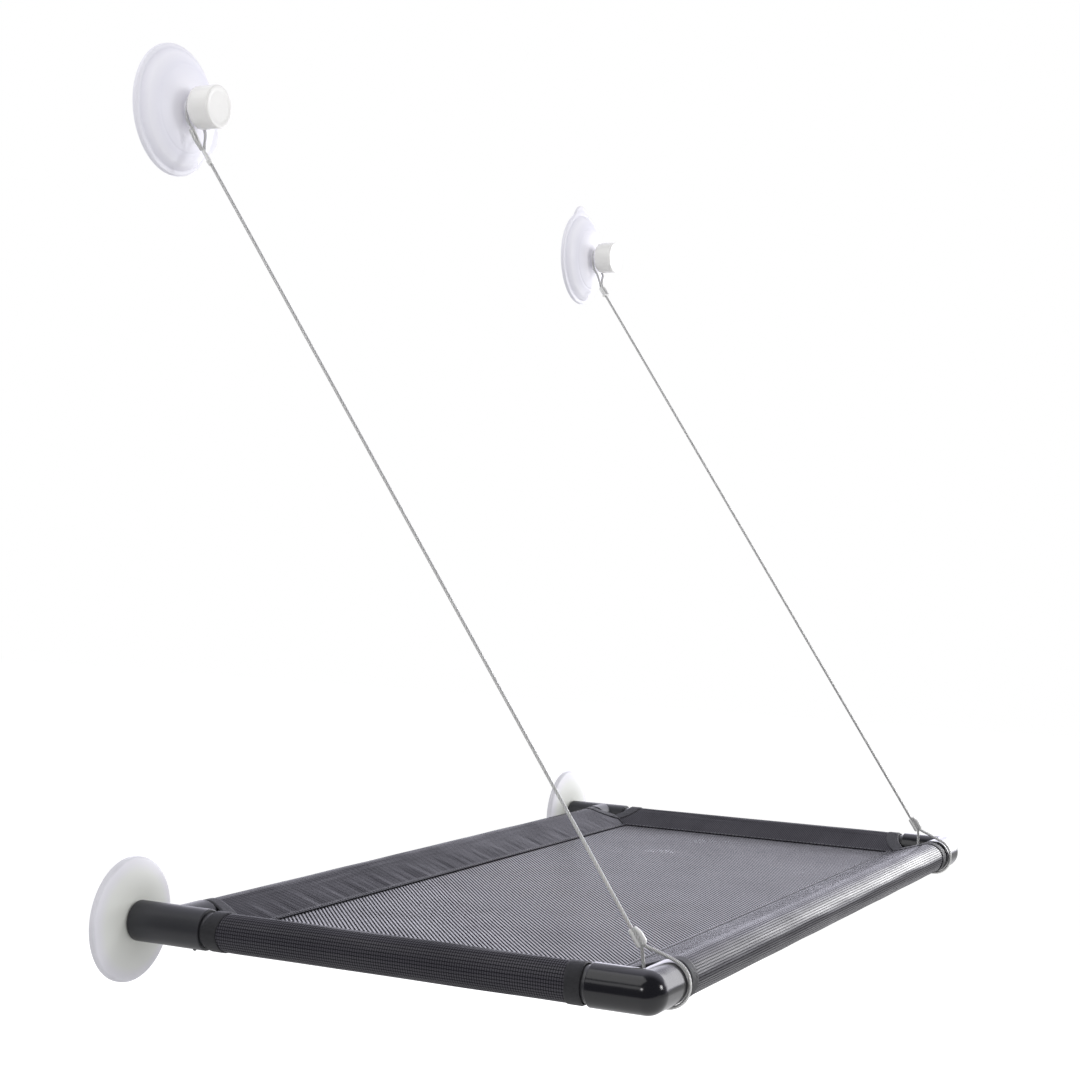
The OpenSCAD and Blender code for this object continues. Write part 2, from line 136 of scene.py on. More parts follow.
def grid_corners(uv):
    """The UV of each face's four corners, as in grid_faces; uv has one more column where the grid wraps."""
    return np.stack([uv[:-1, :-1], uv[:-1, 1:], uv[1:, 1:], uv[1:, :-1]], axis=2).reshape(-1, 4, 2)


def piece_from(name, points, faces, uv=None, body="frame", sharp=None, finish=None):
    """An object at the origin from points (metres) and faces. It rides on a body and takes a finish."""
    mesh = bpy.data.meshes.new(name)
    mesh.from_pydata(np.asarray(points).reshape(-1, 3).tolist(), [], [list(map(int, f)) for f in faces])
    mesh.polygons.foreach_set("use_smooth", [True] * len(mesh.polygons))
    if uv is not None:
        mesh.uv_layers.new(name=SURFACE_MAP).uv.foreach_set("vector", np.asarray(uv, np.float32).ravel())
    if sharp is not None:
        mesh.set_sharp_from_angle(angle=math.radians(sharp))
    mesh.validate()
    mesh.update()
    made = add_object(name, mesh)
    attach(made, body)
    if finish is not None:
        mesh.materials.append(finish)
    return made


def lengths_along(points):
    """The distance from the first point to each point, along the line through them all."""
    return np.concatenate([[0], np.cumsum(np.linalg.norm(np.diff(points, axis=0), axis=1))])


def smoothstep(x, low, high):
    """0 below low, 1 above high, and an S-curve between them."""
    t = np.clip((x - low) / (high - low), 0, 1)
    return t * t * (3 - 2 * t)


# %% [markdown]
# ## Shader maths as Python
# A material is a graph of nodes. Written by hand that is long, so one small
# class wraps a socket: adding or multiplying two of them adds the Math node for
# it. Any other node comes from one method, which takes the node's type, its
# settings and what goes into its sockets.

# %% Finish helpers
class Socket:
    """A number that varies over a surface: an output that answers to + - * and to any Math operation."""

    def __init__(self, graph, output):
        self.graph, self.output = graph, output

    def apply(self, operation, *others):
        return self.graph.node("ShaderNodeMath", {"operation": operation}, self, *others)

    def clamped(self):
        return self.apply("MAXIMUM", 0.0).apply("MINIMUM", 1.0)

    def __rsub__(self, other):
        return self.graph.node("ShaderNodeMath", {"operation": "SUBTRACT"}, other, self)

    __add__ = __radd__ = partialmethod(apply, "ADD")
    __mul__ = __rmul__ = partialmethod(apply, "MULTIPLY")
    __sub__ = partialmethod(apply, "SUBTRACT")


class Graph:
    """The nodes of a material or of the surround."""

    def __init__(self, owner):
        owner.use_nodes = True
        self.owner, self.tree = owner, owner.node_tree

    def feed(self, socket, value):
        if isinstance(value, Socket):
            self.tree.links.new(value.output, socket)
        elif isinstance(value, (tuple, list)) and len(value) == 3 and socket.type == "RGBA":
            socket.default_value = (*value, 1.0)
        else:
            socket.default_value = value

    def node(self, kind, settings=None, *values, out=0, **named):
        """Adds a node: its settings, then its sockets in order or by name. Returns one of its outputs."""
        made = self.tree.nodes.new(kind)
        for key, value in (settings or {}).items():
            if key == "stops":
                ramp = made.color_ramp
                while len(ramp.elements) < len(value):
                    ramp.elements.new(0.5)
                for element, (place, colour) in zip(ramp.elements, value):
                    element.position, element.color = place, (*colour, 1.0)
            else:
                setattr(made, key, value)
        for socket, value in zip(made.inputs, values):
            if value is not None:
                self.feed(socket, value)
        for key, value in named.items():
            self.feed(made.inputs[key.replace("_", " ")], value)
        return Socket(self, made.outputs[out])

    def mix(self, share, low, high):
        """A colour between two colours."""
        made = self.node("ShaderNodeMix", {"data_type": "RGBA"}, out=2)
        sockets = made.output.node.inputs
        for socket, value in ((sockets[0], share), (sockets[6], low), (sockets[7], high)):
            self.feed(socket, value)
        return made

    def seen_ray(self):
        """1 for the rays of the camera, also through clear things, and 0 for the others."""
        rays = self.node("ShaderNodeLightPath").output.node.outputs
        return Socket(self, rays["Is Camera Ray"]).apply("MAXIMUM", Socket(self, rays["Is Transmission Ray"]))


class Finish(Graph):
    """A material whose Principled shader gets constants on its own sockets and varying values from nodes."""

    def __init__(self, name, **constants):
        super().__init__(bpy.data.materials.new(name))
        self.material = self.owner
        self.shader = self.tree.nodes["Principled BSDF"]
        self.set(**constants)

    def set(self, **values):
        """Puts numbers and colours on the shader's sockets, or links what varies, with _ for a space."""
        for name, value in values.items():
            self.feed(self.shader.inputs[name.replace("_", " ")], value)

    def place(self, scale=(1, 1, 1), uv=False):
        """Object coordinates in metres, or the piece's own surface map, stretched by scale."""
        if uv:
            source = self.node("ShaderNodeUVMap", {"uv_map": SURFACE_MAP})
        else:
            source = self.node("ShaderNodeTexCoord", out=3)
        return self.node("ShaderNodeMapping", {"vector_type": "POINT"}, source, Scale=scale)

    def split(self, vector):
        """The x, y and z of a vector."""
        outputs = self.node("ShaderNodeSeparateXYZ", {}, vector).output.node.outputs
        return [Socket(self, outputs[k]) for k in range(3)]

    def noise(self, where, scale, detail):
        """Soft noise around 0.5."""
        return self.node("ShaderNodeTexNoise", {}, where, Scale=scale, Detail=detail, Roughness=0.5)

    def relief(self, height, depth, onto=None):
        """A bump of that depth in metres from a height that varies from 0 to 1."""
        made = self.node("ShaderNodeBump", {}, Strength=1.0, Distance=depth, Height=height)
        if onto is not None:
            self.feed(made.output.node.inputs["Normal"], onto)
        return made


# %% [markdown]
# ## The cables
# Each cable is 2 mm wire rope. At the top it makes a loop round the suction
# cup's neck, runs down to the front corner, and makes a second loop round the
# elbow's front leg. A plain tube would look like string, so the rope is made as
# it is laid: six strands round a seventh, turning as they go. The outline of a
# cut through it is six overlapping circles, and that outline is turned a little
# further at each step along the route.

# %% Cable route and rope
STRANDS_OUT = 1.07 * MM
LAY_LENGTH = 13.0 * MM
WIRES = 19
ROPE_STEP = 0.75 * MM
STRANDS = 6
ROPE_SIDES = 36
LAST_SIDE = np.array([1, 0, 0])
LOOP_PLACE = np.array([-UPPER_X, -17.75, UPPER_Z])
CORNER_PLACE = np.array([-SIDE_X, FRONT_Y, 0.0])
UPPER_LOOP = LOOP_PLACE + [
    [1.13, -12.44, -35.24], [0.98, -7.4, -27.79], [-0.6, -5.65, -24.4], [-3.2, -4.65, -19.5],
    [-6.6, -3.45, -14.8], [-7.7, -1.85, -12.1], [-8.3, -0.35, -9], [-8.4, 0, -6], [-8.45, 0, 0],
    [-7.32, 0, 4.23], [-4.23, 0, 7.32], [0, 0, 8.45], [4.23, 0, 7.32], [7.32, 0, 4.23], [8.45, 0, 0],
    [8.4, 0, -6], [8.5, -0.35, -9], [8.3, -1.85, -12.1], [7.4, -3.45, -15],
    [5.4, -4.95, -19.5], [3.7, -5.85, -24.5], [3.02, -6.7, -28.21], [3.22, -13.4, -38.11],
]
LOWER_LOOP = CORNER_PLACE + [
    [25.6, 21.9, 29.4], [25.8, 15.2, 19.5], [26.4, 14.8, 15], [27.5, 14.4, 9],
    [28.5, 14.3, 4], [29, 14.25, 0], [29, 13.39, -4.87], [29, 10.92, -9.16],
    [29, 7.13, -12.34], [29, 2.47, -14.03], [29, -2.47, -14.03], [29, -7.13, -12.34],
    [29, -10.92, -9.16], [29, -13.39, -4.87], [29, -14.25, 0], [29, -13.39, 4.87],
    [29, -10.92, 9.16], [29, -7.13, 12.34], [29, -4.4, 13.6], [28.4, 1.5, 15.95],
    [27.2, 7.5, 18.3], [25.8, 13.4, 20.7], [25.6, 20.1, 30.6],
]
RUN_SHARES = np.array([0.19, 0.41, 0.63, 0.85])[:, None]
STRAIGHT_RUN = UPPER_LOOP[-1] + RUN_SHARES * (LOWER_LOOP[0] - UPPER_LOOP[-1])
CABLE_TAIL = LOOP_PLACE + [[0.4, -6.15, -27.4], [-4.3, -3.95, -21.2], [-8.8, -3.25, -15.4]]
CABLE_ROUTE = np.concatenate([UPPER_LOOP, STRAIGHT_RUN, LOWER_LOOP])


def even_path(route, step):
    """Points a step apart on a smooth curve through the route: each stretch is the cubic whose slopes at
    its ends are the chords across its neighbours, and the result is spaced again by its own length."""
    p = np.asarray(route, float) * MM
    knot = lengths_along(p)
    gap = np.diff(knot)
    slope = np.gradient(p, knot, axis=0)
    at = np.linspace(0, knot[-1], int(knot[-1] / step) * 2)
    k = np.clip(np.searchsorted(knot, at, side="right") - 1, 0, len(p) - 2)
    t = ((at - knot[k]) / gap[k])[:, None]
    h = gap[k][:, None]
    curve = (
        (2 * t**3 - 3 * t**2 + 1) * p[k] + (t**3 - 2 * t**2 + t) * h * slope[k]
        + (3 * t**2 - 2 * t**3) * p[k + 1] + (t**3 - t**2) * h * slope[k + 1]
    )
    along = lengths_along(curve)
    even = np.linspace(0, along[-1], max(4, int(along[-1] / step)))
    return np.stack([np.interp(even, along, curve[:, c]) for c in range(3)], axis=1)


def rope_outline(turn):
    """Radius of the rope at an angle: the outside of six circles a third as wide, which stand two thirds
    out from the middle."""
    sector = 2 * np.pi / STRANDS
    local = (turn + sector / 2) % sector - sector / 2
    out, own = 2 * STRANDS_OUT / 3, STRANDS_OUT / 3
    return out * np.cos(local) + np.sqrt(np.maximum(own**2 - (out * np.sin(local)) ** 2, 0))


def rope(name, route, mirrored, first_side):
    """A laid rope along a route. Two directions square to the route span each cut. They come from a side
    direction that changes smoothly from one end to the other and is never along the route."""
    path = even_path(route, ROPE_STEP)
    along = lengths_along(path)
    heading = unit(np.gradient(path, along, axis=0))
    share = smoothstep(along / along[-1], 0.3, 0.7)[:, None]
    side = (1 - share) * np.array(first_side) + share * LAST_SIDE
    across = unit(np.cross(heading, side))
    other = np.cross(heading, across)
    turn = np.linspace(0, 2 * np.pi, ROPE_SIDES + 1)[None, :-1]
    reach = rope_outline(turn - 2 * np.pi * along[:, None] / LAY_LENGTH)[..., None]
    turn = turn[..., None]
    points = path[:, None] + reach * (np.cos(turn) * across[:, None] + np.sin(turn) * other[:, None])
    if mirrored:
        points, path = points[:, ::-1] * [-1, 1, 1], path * [-1, 1, 1]
    rows = len(path)
    faces = grid_faces(rows, ROPE_SIDES, wrap_cols=True).tolist() + end_faces(rows, ROPE_SIDES)
    u, v = np.broadcast_arrays(along[:, None], np.linspace(0, 1, ROPE_SIDES + 1)[None, :])
    uv = grid_corners(np.stack([u, v], axis=-1)).reshape(-1, 2)
    uv = np.concatenate([uv, np.zeros((2 * ROPE_SIDES, 2))])
    return piece_from(name, points, faces, uv), path, float(along[-1])


ropes = []
for side_name, side in SIDES:
    whole, path, cable_length = rope(f"{side_name}_cable_rope", CABLE_ROUTE, side > 0, (0, 1, 0))
    tail, _, _ = rope(f"{side_name}_cable_tail", CABLE_TAIL, side > 0, (1, 0, 0))
    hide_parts(f"{side_name}_cable")
    ropes += [whole, tail]
print("cable length in mm:", round(cable_length / MM, 1), "rings:", len(path))

# %% [markdown]
# ## Finishes for the metal, the mouldings and the vinyl
# The rope is bright steel, painted darker in its grooves as the shade where the
# strands meet. Soft aluminium, satin paint, plated metal and sewing thread are all
# patches of colour and gloss with a finer grain. The elbows are a glossy black
# moulding, and the tees a satin one. The suction cups are soft vinyl, which is
# milky in a piece this thick, so it is a pale body and not glass. Its colour
# follows the distance from the cup's axis: the vinyl's tone changes as the
# thickness of its wall does, the middle is painted lighter against the shade round
# the knob and the tee, and thin rings at the rim and the steps are painted darker
# and lighter as their painted shade and light.

# %% Hard finishes
def rope_steel():
    """Bright strands, painted darker where they meet as the shade there, with the fine slanting lines of
    their wires.
    """
    f = Finish("rope_steel", Metallic=0.6, Roughness=0.36, Base_Color=(0.8, 0.8, 0.79))
    u, v, _ = f.split(f.place(uv=True))
    # Painted shade: the colour darkens into the grooves where the strands meet.
    painted_groove_shade = ((v * STRANDS - u * (STRANDS / LAY_LENGTH)) * math.pi).apply("COSINE").apply("ABSOLUTE")
    wires = ((v * WIRES + u * (2 / LAY_LENGTH) * WIRES) * (2 * math.pi)).apply("SINE")
    f.set(
        Base_Color=f.mix(painted_groove_shade.apply("POWER", 0.7), (0.2, 0.2, 0.195), (0.92, 0.92, 0.91)),
        Normal=f.relief(wires, 0.02 * MM),
    )
    return f.material


def speckled(name, dark, light, patches, grain, depth, shine, spread, **constants):
    """Patches of noise change the colour, and the gloss by the spread; a grain gives relief of that depth.
    Both are (stretch, scale, detail)."""
    f = Finish(name, Base_Color=light, Roughness=shine, **constants)
    patch = f.noise(f.place(patches[0]), *patches[1:])
    fine = f.noise(f.place(grain[0]), *grain[1:])
    f.set(
        Base_Color=f.mix(patch, dark, light), Roughness=shine + patch * spread, Normal=f.relief(fine, depth)
    )
    return f.material


def moulded(name, colour, shine, waviness, fleck, mirror=0.5):
    """A moulded plastic: a slow waviness, a fine grain, and a little change of colour and gloss."""
    f = Finish(name, Base_Color=colour, Roughness=shine, Specular_IOR_Level=mirror)
    slow, fine = f.noise(f.place(), 35, 2), f.noise(f.place(), 1100, 3)
    lighter = tuple(c * 1.5 + 0.004 for c in colour)
    f.set(
        Base_Color=f.mix(slow * 0.5 + fine * fleck, colour, lighter),
        Roughness=shine + fine * 0.08 + slow * 0.05,
        Normal=f.relief(fine, 0.006 * MM, onto=f.relief(slow, waviness)),
    )
    return f.material


def milky_vinyl(name, tone_and_painted_light, shine):
    """Cloudy soft vinyl with a satin skin. Its colour changes with the distance from the cup's axis: a list
    gives (distance in mm, colour), the vinyl's tone with painted light and shade in some rings, and a slow
    haze mixes them a little."""
    f = Finish(name, Base_Color=tone_and_painted_light[-1][1], Roughness=shine, IOR=1.45, Specular_IOR_Level=0.35)
    x, _, z = f.split(f.place())
    axis_x, axis_z = CUP_AXES[name]
    across, up = x.apply("ABSOLUTE") - axis_x * MM, z - axis_z * MM
    haze, skin = f.noise(f.place(), 45, 3), f.noise(f.place(), 260, 2)
    far = tone_and_painted_light[-1][0]
    out = (across * across + up * up).apply("SQRT") * (1 / (far * MM)) + (haze - 0.5) * 0.06
    stops = [(distance / far, colour) for distance, colour in tone_and_painted_light]
    ramp = f.node("ShaderNodeValToRGB", {"stops": stops}, out)
    f.set(Base_Color=ramp, Roughness=shine + haze * 0.1, Normal=f.relief(skin, 0.03 * MM))
    return f.material


def plated(name, colour, shine):
    """Turned and plated metal, with the fine rings that the tool leaves."""
    darker = tuple(c * 0.8 for c in colour)
    return speckled(name, darker, colour, RINGS, RINGS, 0.01 * MM, shine, spread=0.15, Metallic=1.0)


EVEN = (1, 1, 1)
RINGS = ((1, 40, 1), 120, 2)
steel = rope_steel()
aluminium = speckled(
    "crimped_aluminium", (0.74, 0.74, 0.73), (0.95, 0.95, 0.94), (EVEN, 900, 3), ((6, 1, 1), 1500, 2),
    depth=0.02 * MM, shine=0.28, spread=0.2, Metallic=0.4,
)
CUP_AXES = {"upper_vinyl": (UPPER_X, UPPER_Z), "lower_vinyl": (SIDE_X, 0.0)}
elbow_black = moulded("elbow_black", (0.005, 0.005, 0.007), 0.10, waviness=0.20 * MM, fleck=0.1, mirror=0.62)
tee_charcoal = moulded("tee_charcoal", (0.018, 0.0185, 0.022), 0.34, waviness=0.1 * MM, fleck=0.3, mirror=0.4)
knob_ivory = moulded("knob_ivory", (0.68, 0.675, 0.665), 0.16, waviness=0.06 * MM, fleck=0.1)
tube_paint = speckled(
    "painted_tube", (0.022, 0.022, 0.026), (0.05, 0.05, 0.056), (EVEN, 60, 4), (EVEN, 700, 2),
    depth=0.02 * MM, shine=0.28, spread=0.16, Coat_Weight=0.3,
)
# Painted light in the rings: the middle up to 12 mm is painted lighter against the shade round the knob, the
# rings at 39.2 mm and 43.5 mm are painted darker as the shade of the groove and of the rim's edge, and the
# band at 40.6 mm is painted lighter as the light on the rim.
upper_vinyl = milky_vinyl("upper_vinyl", [
    (0, (0.95, 0.94, 1.0)), (12, (0.94, 0.93, 0.99)), (22, (0.85, 0.845, 0.92)), (30, (0.80, 0.795, 0.88)),
    (36, (0.84, 0.835, 0.90)), (39.2, (0.76, 0.755, 0.83)), (40.6, (0.82, 0.815, 0.88)),
    (43.5, (0.74, 0.735, 0.80)), (50, (0.80, 0.795, 0.84)),
], shine=0.3)
# Painted light in the rings: the middle is painted lighter against the shade round the tee, and the edge at
# 40 mm is painted darker as a painted dark outline of the rim.
lower_vinyl = milky_vinyl("lower_vinyl", [
    (0, (0.70, 0.71, 0.67)), (20, (0.66, 0.67, 0.64)), (30, (0.69, 0.70, 0.68)), (36, (0.71, 0.705, 0.75)),
    (38.4, (0.73, 0.725, 0.78)), (40.0, (0.60, 0.595, 0.64)), (50, (0.60, 0.595, 0.64)),
], shine=0.28)
stud_zinc = plated("stud_zinc", (0.72, 0.73, 0.75), 0.25)
bush_brass = plated("bush_brass", (0.78, 0.62, 0.32), 0.22)

for whole in ropes:
    whole.data.materials.append(steel)

CAD_FINISH = {f"{which}_tube": tube_paint for which in ("front", "rear", "left", "right")}
for side_name, _ in SIDES:
    CAD_FINISH |= {
        f"{side_name}_elbow": elbow_black, f"{side_name}_tee": tee_charcoal,
        f"{side_name}_stud": stud_zinc, f"{side_name}_knob_bush": bush_brass,
    }


def dress(packed, finish):
    """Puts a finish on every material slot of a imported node; its mesh stays as it is."""
    if not packed.material_slots:
        packed.data.materials.append(finish)
    for slot in packed.material_slots:
        slot.material = finish


for node, finish in CAD_FINISH.items():
    dress(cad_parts[node], finish)
print("packed nodes with a finish:", len(CAD_FINISH))

# %% [markdown]
# ## The woven cloth
# The sling is cut from coated mesh, the kind used on garden chairs. Round
# coated yarns cross over and under each other, with a small gap at each
# crossing. The yarns lie about 2 mm apart one way and 1.65 mm the other way.
#
# Its relief is worked out from the two counts of yarns. Within a cell of the
# weave, one yarn is on top and the other one dips, and in the next cell they
# change places. The taller of the two arches is the surface. The tops of the
# yarns are painted lighter, a painted highlight, and the gaps are painted nearly
# black, a painted shade. On the bed, only the yarns of one direction get the
# painted highlight and the coat, which gives it its slanting lines, and its
# painted highlight is lighter than the sleeves', a painted sheen. On the round
# sleeves both kinds get them, and the front one, which faces the room, is a
# little shinier than the others and painted a little lighter.

# %% Cloth finishes
YARN_ACROSS = 2.03 * MM
YARN_ALONG = 1.65 * MM


def woven_mesh(name, crown_highlight_colour, width, shine, coat, mirror, crossing=1.0, relief=0.14 * MM):
    """Plain weave. Across itself a yarn is a flat arch. Along itself it swings as a cosine, up over one
    neighbour and down under the next, and yarns beside each other swing in turn. The crowns of the yarns
    along v carry the coat and a lighter colour as a painted highlight, and those that cross them have a
    share of it; the flanks and the gaps are painted nearly black as a painted shade."""
    f = Finish(
        name, Base_Color=(0.05, 0.05, 0.055), Roughness=0.7, Specular_IOR_Level=0.0,
        Coat_Roughness=shine, Coat_IOR=mirror,
    )
    u, v, _ = f.split(f.place(uv=True))
    u, v = u * (1 / YARN_ACROSS), v * (1 / YARN_ALONG)
    row, column = u.apply("FLOOR"), v.apply("FLOOR")
    in_u, in_v = u - row - 0.5, v - column - 0.5
    swing_u = ((v + row - 0.5) * math.pi).apply("COSINE")
    swing_v = ((u + column - 0.5) * math.pi).apply("COSINE")
    arch_u, arch_v = (
        (1 - inside * inside * (4 / width**2)).apply("MAXIMUM", 0.0).apply("SQRT") for inside in (in_u, in_v)
    )
    warp, weft = arch_u * (0.62 + swing_u * 0.38), arch_v * (0.62 - swing_v * 0.38)
    over, under = arch_u * (swing_u * 2 + 0.2).clamped(), arch_v * (0.2 - swing_v * 2).clamped()
    crowns = over.apply("MAXIMUM", under * crossing)
    wear = f.noise(f.place(), 22, 3)
    creases = f.noise(f.place((1, 1.6, 1.6)), 28, 2)
    # Painted light: the crowns get the lighter colour as a painted highlight, and the flanks and gaps a
    # near-black painted shade.
    f.set(
        Base_Color=f.mix(crowns * (0.8 + wear * 0.4), (0.006, 0.006, 0.008), crown_highlight_colour),
        Coat_Weight=crowns * (coat + (wear - 0.5) * 0.5),
        Normal=f.relief(warp.apply("MAXIMUM", weft), relief, onto=f.relief(creases, 0.35 * MM)),
    )
    return f.material


def ribbed_tape():
    """Narrow woven tape: fine ribs across its width and a slightly hairy, matte surface."""
    f = Finish("ribbed_tape", Base_Color=(0.02, 0.02, 0.023), Roughness=0.55, Specular_IOR_Level=0.35)
    u, v, _ = f.split(f.place(uv=True))
    ribs = (u * (2 * math.pi / (0.8 * MM))).apply("SINE")
    threads = (v * (2 * math.pi / (0.55 * MM))).apply("SINE")
    lint = f.noise(f.place(), 420, 3)
    f.set(
        Base_Color=f.mix(lint, (0.009, 0.009, 0.011), (0.028, 0.028, 0.032)),
        Roughness=0.45 + lint * 0.2,
        Normal=f.relief(ribs * 0.3 + threads * 0.15 + lint * 0.4, 0.12 * MM),
    )
    return f.material


# The bed's crowns are painted lighter than the sleeves' as a painted sheen, and with crossing 0 only one
# direction of yarns gets the painted highlight. The front sleeve's crowns are painted a little lighter than
# the side sleeves'.
bed_mesh = woven_mesh(
    "woven_bed", (0.20, 0.196, 0.22), width=0.86, shine=0.27, coat=1.0, mirror=1.8,
    crossing=0.0, relief=0.10 * MM,
)
front_mesh = woven_mesh("woven_front", (0.062, 0.060, 0.072), width=0.78, shine=0.26, coat=0.8, mirror=1.6)
side_mesh = woven_mesh("woven_side", (0.055, 0.053, 0.063), width=0.80, shine=0.25, coat=0.45, mirror=1.5)
tape_cloth = ribbed_tape()
TWIST = (EVEN, 2600, 2)
thread = speckled(
    "thread_black", (0.010, 0.010, 0.012), (0.055, 0.055, 0.06), TWIST, TWIST,
    depth=0.05 * MM, shine=0.5, spread=0.0,
)
print("yarns to 100 mm:", round(100 * MM / YARN_ACROSS), "and", round(100 * MM / YARN_ALONG))

# %% [markdown]
# ## The sleeves
# On the real sling the cloth goes over each tube, comes back under it, and is
# sewn down along a seam 34 mm from the tube's axis. Its section is a line: in
# from the hem, up the slope to where it touches the tube, round the tube, and
# back below in the same way.
#
# The sleeve is a grid: one parameter follows that section, and the other runs
# along the tube between the two corner cut-outs. Both ends depend on how far
# inwards a point of the section lies, so that the grid ends on the round
# cut-out, and beyond it on the slanting line to the neighbouring sleeve.

# %% Sleeve shape
CLOTH = 0.8
SLEEVE_RADIUS = 11.7
SLEEVE_ROWS, COLUMN_STEP = 96, 3.0
SEAM = 34.0
LAP = 4.5
FITTING_CLEAR, CLEAR_BLEND = 14.0, 1.2
FRONT_END = {"cut": 38.0, "bare": 37.0}
REAR_END_ACROSS = {"cut": 27.0, "bare": 26.5}
REAR_END_ALONG = {"cut": 27.0, "bare": 23.5}


def sleeve_section(offset=0.0, lap=LAP, count=SLEEVE_ROWS):
    """The folded cloth's middle line as (inwards, up) in mm: a line along the seam, a slope that touches a
    circle round the tube, the far side of the circle, and the same below. Evenly spaced by length."""
    r, up = SLEEVE_RADIUS + offset, CLOTH + offset
    touch = math.acos(r / math.hypot(SEAM, up)) + math.atan2(up, SEAM)
    angle = np.linspace(touch, 2 * np.pi - touch, 80)
    arc = np.stack([r * np.cos(angle), r * np.sin(angle)], axis=1)
    line = np.concatenate([[[SEAM + lap, up], [SEAM, up]], arc, [[SEAM, -up], [SEAM + lap, -up]]])
    along = lengths_along(line)
    even = np.linspace(0, along[-1], count)
    return np.stack([np.interp(even, along, line[:, k]) for k in range(2)], axis=1), even


def end_of(section, end):
    """How far from the corner the cloth starts: the circle of the cut-out, the bare tube where the section
    is near the fitting, and past the circle the slanting mitre, where it equals the distance inwards."""
    inward, up = section[:, 0], section[:, 1]
    near = 1 - smoothstep(np.hypot(inward, up), FITTING_CLEAR - CLEAR_BLEND, FITTING_CLEAR + CLEAR_BLEND)
    circle = np.sqrt(np.maximum(end["cut"] ** 2 - inward**2, 0))
    return np.maximum(np.maximum(circle, end["bare"] * near), inward)


def lie_along(which, inward, s, up):
    """Places a point of a sleeve: s mm along the tube from its corner, inwards towards the bed, and up."""
    if which in AT_SIDES:
        x, y = (SIDE_X - inward) * (-1 if which == "left" else 1), FRONT_Y + s
    else:
        x, y = s - SIDE_X, FRONT_Y + inward if which == "front" else REAR_Y - inward
    return np.stack(np.broadcast_arrays(x, y, up), axis=-1)


AT_SIDES = ("left", "right")
SLEEVES = {
    "front": (2 * SIDE_X, FRONT_END, FRONT_END),
    "rear": (2 * SIDE_X, REAR_END_ACROSS, REAR_END_ACROSS),
    "left": (REAR_Y - FRONT_Y, FRONT_END, REAR_END_ALONG),
    "right": (REAR_Y - FRONT_Y, FRONT_END, REAR_END_ALONG),
}
PUCKER_LENGTHS, PUCKER_HIGH = (11.0, 17.0, 26.0, 43.0, 71.0), 0.11
FOLD_LENGTHS = ((5.5, 210.0), (-7.0, 125.0), (9.5, -290.0), (-13.0, 85.0))
FOLD_LIFT, FOLD_HIGH = 0.08, 0.07


def sum_of_sines(seed, least, turns):
    """Sines of so many turns, added up, each with a height from least to 1 and a start of its own."""
    random = np.random.default_rng(seed)
    return sum(random.uniform(least, 1.0) * np.sin(2 * np.pi * t + random.uniform(0, 6.28)) for t in turns)


def puckers(inward, s, seed):
    """Small waves that the stitches pull into the flap: strongest at the seam, gone at the tube. A sum of
    sines along the seam, in mm."""
    waves = sum_of_sines(seed, 0.4, [s / length for length in PUCKER_LENGTHS])
    return PUCKER_HIGH * waves * smoothstep(inward, 9.0, 27.0) * (1 - smoothstep(inward, 33.0, 34.5))


def folds(inward, up, around, s, seed):
    """Low folds that run along the tube: sines, short round the tube and long along it, as a share of the
    distance from its axis. They fade out towards the seam and the corners."""
    waves = sum_of_sines(seed + 40, 0.5, [around / short + s / long for short, long in FOLD_LENGTHS])
    ends = np.minimum(s - s.min(), s.max() - s)
    window = (1 - smoothstep(inward, 8.0, 16.0)) * smoothstep(ends, 10.0, 30.0)
    return (FOLD_LIFT + FOLD_HIGH * waves) * window / np.maximum(np.hypot(inward, up), 1.0)


def sleeve_grid(which, seed):
    """Points and UV of a sleeve's middle surface, in mm."""
    length, first, last = SLEEVES[which]
    section, around = sleeve_section()
    start, stop = end_of(section, first), length - end_of(section, last)
    share = np.linspace(0, 1, int(length / COLUMN_STEP))[None, :]
    s = start[:, None] * (1 - share) + stop[:, None] * share
    inward, up, around = section[:, :1], section[:, 1:], around[:, None] + 0 * s
    out = 1 + folds(inward, up, around, s, seed)
    points = lie_along(which, inward * out, s, up * out + np.sign(up) * puckers(inward, s, seed))
    return points, np.stack([around, s] if which in AT_SIDES else [s, around], axis=-1)


def solid_sheet(made, thickness):
    """Gives a single surface its thickness, half of it on either side."""
    thick = made.modifiers.new("thickness", "SOLIDIFY")
    thick.thickness, thick.offset, thick.use_even_offset = thickness, 0.0, False


def sleeve(which, seed):
    """One sleeve as a thick sheet."""
    points, uv = sleeve_grid(which, seed)
    rows, cols = points.shape[:2]
    faces, corner_uv = grid_faces(rows, cols), grid_corners(uv)
    if which in ("left", "rear"):
        faces, corner_uv = faces[:, ::-1], corner_uv[:, ::-1]
    cloth = front_mesh if which == "front" else side_mesh
    made = piece_from(f"{which}_sleeve_cloth", points * MM, faces, corner_uv * MM, finish=cloth)
    solid_sheet(made, CLOTH * MM)
    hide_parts(f"{which}_sleeve")
    long = float(np.ptp(points[..., 1 if which in AT_SIDES else 0])) * MM


for seed, which in enumerate(SLEEVES, 3):
    sleeve(which, seed)

# %% [markdown]
# ## The bed
# The bed is the cloth between the four seams. It is stretched tight, so it is
# almost flat: it sags by a little more than a millimetre in the middle, and it
# keeps a few soft creases from the time it lay folded.

# %% Bed
BED_HALF_X, BED_Y = 296.0, (-327.0, -75.0)
BED_ROWS, BED_COLUMNS = 102, 238
SAG = 1.4


